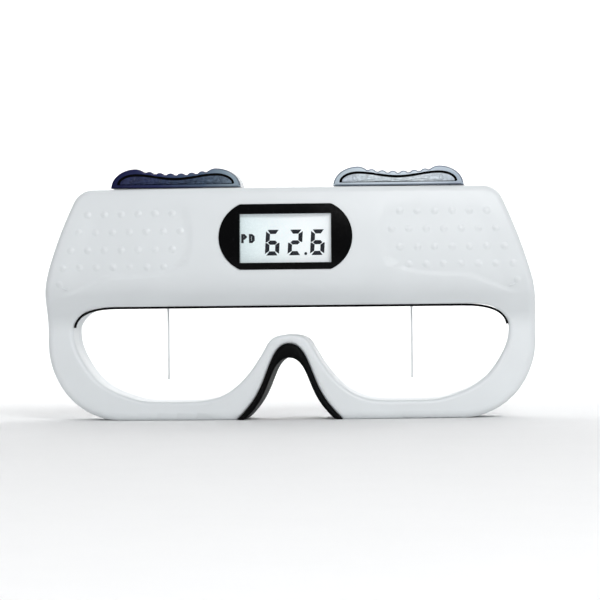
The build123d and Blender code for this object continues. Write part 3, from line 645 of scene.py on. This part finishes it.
def build_figures():
    """The reading, its point and the letters PD, as thin plates on the glass."""
    outlines = []
    base_z = LCD_TOP - READING_LOW
    for figure, left in READING:
        for kind in SEGMENTS[figure]:
            outlines.append([(LCD_LEFT + left + u + LEAN * v, base_z + v)
                             for u, v in bar(kind, FIGURE_W, FIGURE_H)])
    outlines.append(ring(LCD_LEFT + POINT_LEFT, base_z + POINT_UP, POINT_R))
    outlines += letter_strokes(LCD_LEFT + LETTERS_LEFT, LCD_TOP - LETTERS_LOW,
                               LETTER_W, LETTER_H, LETTER_STROKE)
    verts, faces = plate(outlines, LCD_FRONT_Y - INK_T, INK_T * 0.9)
    figures = add_mesh("lcd_figures", verts, faces, INK, False)
    tidy_normals(figures)
    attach(figures, "housing")


build_figures()


# ---------------------------------------------------------------------- pads
def soft_copy(node, name, voxel, passes, material):
    """A soft piece from its CAD solid: even mesh, rounded edges."""
    obj = bpy.data.objects.new(name, nodes[node].data.copy())
    bpy.context.scene.collection.objects.link(obj)
    remesh = obj.modifiers.new("even", "REMESH")
    remesh.mode = "VOXEL"
    remesh.voxel_size = voxel
    ease = obj.modifiers.new("ease", "SMOOTH")
    ease.factor = 0.5
    ease.iterations = passes
    bpy.context.view_layer.update()
    mesh = bpy.data.meshes.new_from_object(obj.evaluated_get(bpy.context.evaluated_depsgraph_get()))
    obj.modifiers.clear()
    obj.data = mesh
    mesh.polygons.foreach_set("use_smooth", [True] * len(mesh.polygons))
    return paint(obj, material)


nose = soft_copy("nose_pad", "nose_cushion", 0.5 * MM, 7, RUBBER)
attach(nose, "housing")
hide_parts("nose_pad")

# The brow pad is a crowned band across the back, with a thin seal in front of
# it that lines the window's upper edge and turns down at its corners.
BROW_HALF_W = 44.0 * MM
BROW_LOW = WINDOW_TOP - 0.6 * MM
BROW_HIGH = 33.6 * MM
BROW_BACK = (11.0 * MM, 15.0 * MM)
BROW_STATIONS = 72
BROW_RING = 28
# Rounding of the section, how bluntly the ends close, and what is left there.
BROW_SQUARE = 0.5
BROW_BLUNT = 14
BROW_TIP = 0.02
BROW_TIP_H = 0.25


def brow_ring(x, y0, y1, z0, z1, grow):
    """One rounded section of the pad, shrunk towards its middle by grow."""
    middle_y, middle_z = (y0 + y1) / 2, (z0 + z1) / 2
    points = []
    for i in range(BROW_RING):
        a = 2 * math.pi * i / BROW_RING
        c, s = math.cos(a), math.sin(a)
        round_c = math.copysign(abs(c) ** BROW_SQUARE, c)
        round_s = math.copysign(abs(s) ** BROW_SQUARE, s)
        y = max(middle_y + (y1 - y0) / 2 * round_c * grow, y0)
        z = middle_z + (z1 - z0) / 2 * round_s * (BROW_TIP_H + (1 - BROW_TIP_H) * grow)
        points.append((x, float(wrap(y, x)), z))
    return points


def build_brow():
    """The padded band."""
    verts, faces = [], []
    for k in range(BROW_STATIONS + 1):
        t = 2 * k / BROW_STATIONS - 1
        x = BROW_HALF_W * math.sin(t * math.pi / 2)
        grow = math.sqrt(max(1 - abs(x / BROW_HALF_W) ** BROW_BLUNT, BROW_TIP))
        verts += brow_ring(x, BROW_BACK[0], BROW_BACK[1], BROW_LOW, BROW_HIGH, grow)
    for k in range(BROW_STATIONS):
        for i in range(BROW_RING):
            j = (i + 1) % BROW_RING
            a, b = k * BROW_RING, (k + 1) * BROW_RING
            faces.append((a + i, a + j, b + j, b + i))
    last = BROW_STATIONS * BROW_RING
    faces.append(list(range(BROW_RING)))
    faces.append([last + i for i in reversed(range(BROW_RING))])
    pad = add_mesh("brow_cushion", verts, faces, RUBBER)
    tidy_normals(pad, 60)
    return pad


brow = build_brow()
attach(brow, "housing")
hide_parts("brow_pad")

# The seals follow the window's upper edge and turn down at its corners. Each
# has its front and back on the middle line, and how much of the edge it lines.
SEAL_T = 0.6 * MM
SEALS = {"front_seal": (-9.4 * MM, -8.5 * MM, 0.985), "window_seal": (-1.5 * MM, 6.0 * MM, 0.78)}
SEAL_STATIONS = 60
# Half of the edge: a straight stretch, then a corner that is a little squarer
# than an ellipse, which has a fullness of 2.
EDGE_STRAIGHT = 44.0 * MM
CORNER_W = 12.1 * MM
CORNER_H = 6.4 * MM
CORNER_FULLNESS = 2.55


def edge_line(t):
    """A place on the window's upper edge, t from -1 to 1, and its way inwards."""
    side = math.copysign(1, t)
    run = abs(t) * (EDGE_STRAIGHT + CORNER_W)
    if run <= EDGE_STRAIGHT:
        return Vector((side * run, WINDOW_TOP)), Vector((0, -1))
    a = (run - EDGE_STRAIGHT) / CORNER_W * math.pi / 2
    s = math.sin(a) ** (2 / CORNER_FULLNESS)
    c = math.cos(a) ** (2 / CORNER_FULLNESS)
    spot = Vector((side * (EDGE_STRAIGHT + CORNER_W * s), WINDOW_TOP - CORNER_H * (1 - c)))
    slope = Vector((side * s ** (CORNER_FULLNESS - 1) / CORNER_W,
                    c ** (CORNER_FULLNESS - 1) / CORNER_H))
    return spot, -slope.normalized()


def build_seal(name, y0, y1, reach):
    """The thin strip, with a rounded front lip."""
    half = SEAL_T / 2
    section = ((y1, 0.0), (y1, SEAL_T), (y0 + half, SEAL_T), (y0 + 0.3 * half, 0.8 * SEAL_T),
               (y0, half), (y0 + 0.3 * half, 0.2 * SEAL_T), (y0 + half, 0.0))
    verts, faces = [], []
    count = len(section)
    for k in range(2 * SEAL_STATIONS + 1):
        spot, way = edge_line(reach * (k - SEAL_STATIONS) / SEAL_STATIONS)
        for y, depth in section:
            place = spot + way * depth
            verts.append((place.x, float(wrap(y, place.x)), place.y))
    for k in range(2 * SEAL_STATIONS):
        for i in range(count):
            j = (i + 1) % count
            a, b = k * count, (k + 1) * count
            faces.append((a + i, a + j, b + j, b + i))
    faces.append(list(range(count)))
    faces.append([2 * SEAL_STATIONS * count + i for i in reversed(range(count))])
    strip = add_mesh(name, verts, faces, SEAL)
    tidy_normals(strip, 50)
    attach(strip, "housing")


for name, (y0, y1, reach) in SEALS.items():
    build_seal(name, y0, y1, reach)

# -------------------------------------------------------------- thumb slides
# A tinted block with round, raised ends, a ridged dip for the thumb, rounded
# edges, and a sunk panel in the front and the back. Shapes are worked out from
# the middle of the slide's base.
KNOB_HALF = 16.6 * MM
KNOB_POST = 10.3 * MM
RIM_H = 4.9 * MM
DIP_H = 3.2 * MM
DIP_END = 8.0 * MM
DIP_END_H = 4.0 * MM
RIDGES = 6
RIDGE_PITCH = 2.73 * MM
RIDGE_R = 1.32 * MM
RIDGE_H = 0.52 * MM
# Ridges further out stand higher, by this times their distance squared.
RIDGE_LIFT = 10.5
KNOB_ROUND = 0.5 * MM
ROUND_STEPS = 5
OUTLINE_STEPS = 260
BASE_STEPS = 40
# Rows along the body, close together near its ends to keep the walls' shading flat.
BODY_ROWS = (0.015, 0.05, 0.35, 0.65, 0.95, 0.985)
PANEL_LOW = 0.95 * MM
PANEL_PEAK = 2.05 * MM
PANEL_DIP = 0.53 * MM
PANEL_END = 14.4 * MM
PANEL_SUNK = 0.3 * MM
# The panel's edge is rolled back a little, its ends keep some height, and it
# stops just short of its own outline.
PANEL_ROLL = 0.1 * MM
PANEL_THIN = 0.12 * MM
PANEL_FIT = 0.995
PANEL_COLUMNS = 230
PANEL_ROWS = 16
# The recess is wider than the panel, which leaves a gap around it; the gap's walls and floor
# are painted near-black as painted shade, which makes the dark line around the panel.
RECESS_DEPTH = 1.1 * MM
RECESS_DROP = 0.14 * MM
RECESS_STEPS = 120
SHADOW_GAP = 0.62 * MM


def knob_top(u):
    """Height of the slide's outline at a distance u from its middle."""
    u = abs(u)
    if u > KNOB_POST:
        return RIM_H * math.sqrt(max(1 - ((u - KNOB_POST) / (KNOB_HALF - KNOB_POST)) ** 2, 0))
    if u > DIP_END:
        return RIM_H - (RIM_H - DIP_END_H) * ((KNOB_POST - u) / (KNOB_POST - DIP_END)) ** 2
    height = DIP_H + (DIP_END_H - DIP_H) * (u / DIP_END) ** 2
    for i in range(RIDGES // 2):
        away = (i + 0.5) * RIDGE_PITCH
        centre = DIP_H + RIDGE_H - RIDGE_R + RIDGE_LIFT * away**2
        if abs(u - away) < RIDGE_R:
            height = max(height, centre + math.sqrt(RIDGE_R**2 - (u - away) ** 2))
    return height


def panel_top(u, grow=0.0):
    """Height of the sunk panel's upper edge."""
    u = abs(u)
    end = PANEL_END + grow
    peak = PANEL_LOW + PANEL_PEAK + grow
    if u > KNOB_POST:
        run = min((u - KNOB_POST) / (end - KNOB_POST), 1)
        return PANEL_LOW + (peak - PANEL_LOW) * math.sqrt(1 - run**2)
    return peak - PANEL_DIP * (1 + math.cos(math.pi * u / KNOB_POST))


def loop_of(top, half, low, steps):
    """Closed outline (u, height): along the base to the right, back over the top."""
    points = [Vector((half * (2 * i / BASE_STEPS - 1), low)) for i in range(BASE_STEPS)]
    for i in range(steps):
        u = half * math.cos(math.pi * i / steps)
        points.append(Vector((u, max(top(u), low))))
    return points


def inset(points, amount):
    """The outline moved inwards."""
    moved = []
    for i, point in enumerate(points):
        way = points[(i + 1) % len(points)] - points[i - 1]
        if way.length < 1e-9:
            way = Vector((1, 0))
        moved.append(point + Vector((-way.y, way.x)).normalized() * amount)
    return moved


def build_slide(side):
    """One thumb slide's body."""
    low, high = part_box(f"{side}_thumb_slide")
    centre, base = (low.x + high.x) / 2, low.z
    outline = loop_of(knob_top, KNOB_HALF, 0.0, OUTLINE_STEPS)
    recess = loop_of(lambda u: panel_top(u, SHADOW_GAP), PANEL_END + SHADOW_GAP,
                     PANEL_LOW - RECESS_DROP, RECESS_STEPS)
    verts, faces, dark, edges = [], [], [], []

    def put(points, y):
        first = len(verts)
        verts.extend((centre + p.x, y, base + p.y) for p in points)
        return first

    def bridge(a, b, count):
        for i in range(count):
            j = (i + 1) % count
            faces.append((a + i, a + j, b + j, b + i))

    count = len(outline)
    rings = []
    for face_y, way in ((low.y, 1), (high.y, -1)):
        run = []
        for k in range(ROUND_STEPS + 1):
            a = math.pi / 2 * k / ROUND_STEPS
            run.append(put(inset(outline, KNOB_ROUND * (1 - math.cos(a))),
                           face_y + way * KNOB_ROUND * (1 - math.sin(a))))
        edge_from = len(faces)
        for a, b in zip(run, run[1:]):
            bridge(a, b, count)
        edges.append((edge_from, len(faces) - count))
        rings.append(run)
        mouth = put(recess, face_y)
        floor_ring = put(recess, face_y + way * RECESS_DEPTH)
        edge = [Vector((*p, 0)) for p in inset(outline, KNOB_ROUND)]
        hole = [Vector((*p, 0)) for p in recess]
        for tri in tessellate_polygon([edge, hole]):
            faces.append([run[-1] + i if i < count else mouth + i - count for i in tri])
        # The recess's walls and floor are painted near-black: painted shade in the gap around the
        # panel.
        painted_shade_from = len(faces)
        bridge(mouth, floor_ring, len(recess))
        faces.append([floor_ring + i for i in range(len(recess))])
        dark.append((painted_shade_from, len(faces)))
    start_y, end_y = low.y + KNOB_ROUND, high.y - KNOB_ROUND
    rows = [rings[0][0]] + [put(outline, start_y + (end_y - start_y) * t) for t in BODY_ROWS]
    rows.append(rings[1][0])
    edge_from = len(faces)
    for a, b in zip(rows, rows[1:]):
        bridge(a, b, count)
    edges.append((edge_from, len(faces)))
    knob = add_mesh(f"{side}_thumb_grip", verts, faces, SLIDE[side])
    # Near-black for the recess: painted shade.
    knob.data.materials.append(BEZEL)
    # The rounded edges and walls take the darker copy, as painted shade.
    knob.data.materials.append(EDGE_SHADE[side])
    for slot, spans in ((1, dark), (2, edges)):
        for first, last in spans:
            for i in range(first, last):
                knob.data.polygons[i].material_index = slot
    tidy_normals(knob, 32)
    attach(knob, f"{side}_slide")
    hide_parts(f"{side}_thumb_slide")
    return centre, base, low.y, high.y


# Ends of the streaks on a panel, in mm from the middle of the slide's base.
STREAKS = (((-10.2, 1.35), (-3.4, 2.05)), ((-9.4, 2.55), (-2.2, 1.25)),
           ((-5.6, 1.2), (0.4, 1.75)), ((-3.6, 1.9), (2.6, 1.25)),
           ((10.2, 1.35), (3.4, 2.05)), ((9.4, 2.55), (2.2, 1.25)))
STREAK_R = 0.22 * MM
STREAK_H = 0.27 * MM
EYELET_X = 11.1 * MM
EYELET_Z = 1.95 * MM
EYELET_R = 0.5 * MM


def relief(u, z):
    """Raised streaks and two eyelets on the panel, at u from its middle."""
    spot = Vector((u, z))
    height = 0.0
    for start, end in STREAKS:
        a, b = Vector(start) * MM, Vector(end) * MM
        t = min(max((spot - a).dot(b - a) / (b - a).length_squared, 0), 1)
        away = (spot - a.lerp(b, t)).length / STREAK_R
        height = max(height, STREAK_H * (1 - min(away, 1) ** 2))
    for way in (-1, 1):
        away = abs((spot - Vector((way * EYELET_X, EYELET_Z))).length - EYELET_R) / STREAK_R
        height = max(height, STREAK_H * (1 - min(away, 1) ** 2))
    return height


def build_panel(side, name, centre, base, face_y, way):
    """A panel with its relief, sunk in one face of the slide."""
    columns, rows = PANEL_COLUMNS, PANEL_ROWS
    verts, faces = [], []
    grid = {}
    for layer in (0, 1):
        for i in range(columns + 1):
            u = PANEL_END * math.sin(math.pi / 2 * (2 * i / columns - 1)) * PANEL_FIT
            top = max(panel_top(u), PANEL_LOW + PANEL_THIN)
            for j in range(rows + 1):
                z = PANEL_LOW + (top - PANEL_LOW) * j / rows
                edge = min(j, rows - j, 2) / 2
                deep = PANEL_SUNK - relief(u, z) * edge + PANEL_ROLL * (1 - edge)
                y = face_y + way * (RECESS_DEPTH if layer else deep)
                grid[layer, i, j] = len(verts)
                verts.append((centre + u, y, base + z))
    for layer in (0, 1):
        for i in range(columns):
            for j in range(rows):
                faces.append([grid[layer, i, j], grid[layer, i + 1, j],
                              grid[layer, i + 1, j + 1], grid[layer, i, j + 1]])
    rim = ([(i, 0) for i in range(columns)] + [(columns, j) for j in range(rows)]
           + [(i, rows) for i in range(columns, 0, -1)] + [(0, j) for j in range(rows, 0, -1)])
    for k, (i, j) in enumerate(rim):
        m, n = rim[(k + 1) % len(rim)]
        faces.append([grid[0, i, j], grid[0, m, n], grid[1, m, n], grid[1, i, j]])
    panel = add_mesh(name, verts, faces, INLAY[side])
    tidy_normals(panel, 60)
    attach(panel, f"{side}_slide")
    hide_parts(f"{side}_slide_inlays")


for side in ("left", "right"):
    centre, base, front_y, back_y = build_slide(side)
    build_panel(side, f"{side}_front_panel", centre, base, front_y, 1)
    build_panel(side, f"{side}_back_panel", centre, base, back_y, -1)

# ------------------------------------------------------- finishes of CAD parts
FINISH = {
    "rear_shell": HOUSING_BACK, "battery_door": HOUSING_BACK, "display_bezel": BEZEL,
    "bezel_clamp": DARK, "display_window": CLEAR, "lcd_glass": LCD_PAINTED_GLOW, "lcd_reflector": FOIL,
    "lcd_holder": WHITE, "zebra_strips": RUBBER, "circuit_board": BOARD,
    "encoder_tracks": COPPER, "board_chips": CHIP, "board_screws": STEEL,
    "housing_screws": STEEL, "battery_cells": CELL, "battery_contacts": NICKEL,
    "battery_springs": NICKEL, "power_button": KEY, "mode_button": KEY, "key_boards": BOARD,
    "key_switches": CHIP, "key_board_screws": STEEL, "guide_rods": STEEL,
    "left_rod_bracket": DARK, "right_rod_bracket": DARK, "bracket_screws": STEEL,
}
for side in ("left", "right"):
    FINISH.update({
        f"{side}_carriage": WHITE, f"{side}_bushes": BRASS, f"{side}_encoder_plate": BOARD,
        f"{side}_hairline_collet": BRASS, f"{side}_hairline": HAIR,
    })
for node, material in FINISH.items():
    paint(nodes[node], material)

# --------------------------------------------------------- floor, light, camera
FLOOR_HALF = 2.2
BACK_START = 0.55
BACK_R = 0.5
BACK_H = 1.6
SWEEP_STEPS = 24


def build_floor():
    """A seamless pale sheet: flat under the object, swept up far behind it."""
    line = [(-FLOOR_HALF, 0.0), (BACK_START, 0.0)]
    for i in range(1, SWEEP_STEPS + 1):
        a = math.pi / 2 * i / SWEEP_STEPS
        line.append((BACK_START + BACK_R * math.sin(a), BACK_R * (1 - math.cos(a))))
    line.append((BACK_START + BACK_R, BACK_H))
    verts = [(x, y, z) for y, z in line for x in (-FLOOR_HALF, FLOOR_HALF)]
    faces = [(2 * i, 2 * i + 1, 2 * i + 3, 2 * i + 2) for i in range(len(line) - 1)]
    paper = plastic("paper", (0.88, 0.88, 0.88), 0.7, 300, 2e-5, 0.01)
    return add_mesh("floor", verts, faces, paper)


build_floor()

# The camera's aim, and where it stands as seen from there.
AIM = Vector((2.4, 0.0, 30.6)) * MM
LENS = 200.0
DISTANCE = 0.861
AZIMUTH = math.radians(3.6)
ELEVATION = math.radians(0.0)
ROLL = math.radians(-0.6)


def aim_at(obj, target):
    """Turns a light to look at a point."""
    obj.rotation_euler = (target - obj.location).to_track_quat("-Z", "Y").to_euler()


def area(name, place, size, power, colour=(1, 1, 1), target=None):
    """A soft rectangular light, aimed at the object unless told otherwise."""
    lamp = bpy.data.lights.new(name, "AREA")
    lamp.shape = "RECTANGLE"
    lamp.size, lamp.size_y = size
    lamp.energy = power
    lamp.color = colour
    obj = bpy.data.objects.new(name, lamp)
    obj.location = place
    bpy.context.scene.collection.objects.link(obj)
    aim_at(obj, target or AIM)


area("key", (0.34, -1.0, 0.66), (0.45, 0.4), 7.2)
area("fill", (-0.9, -0.9, 0.35), (0.8, 0.8), 0.5, (0.95, 0.98, 1.0))
area("top", (0.0, 0.1, 1.1), (0.9, 0.6), 0.8)
area("rear", (0.5, 0.9, 0.8), (0.8, 0.6), 1.5)
area("backdrop", (0.0, 0.5, 0.9), (1.6, 0.4), 13, target=Vector((0.0, 1.05, 0.5)))

world = bpy.data.worlds.new("studio")
world.use_nodes = True
world.node_tree.nodes["Background"].inputs["Color"].default_value = (0.95, 0.975, 1.0, 1)
world.node_tree.nodes["Background"].inputs["Strength"].default_value = 0.34
bpy.context.scene.world = world
bpy.context.scene.view_settings.view_transform = "Standard"

camera = bpy.data.objects.new("camera", bpy.data.cameras.new("camera"))
bpy.context.scene.collection.objects.link(camera)
camera.data.lens = LENS
camera.data.clip_start = 0.01
camera.location = AIM + DISTANCE * Vector((
    math.sin(AZIMUTH) * math.cos(ELEVATION),
    -math.cos(AZIMUTH) * math.cos(ELEVATION),
    math.sin(ELEVATION)))
turn = (AIM - camera.location).to_track_quat("-Z", "Y").to_matrix() @ Matrix.Rotation(ROLL, 3, "Z")
camera.rotation_euler = turn.to_euler()
bpy.context.scene.camera = camera
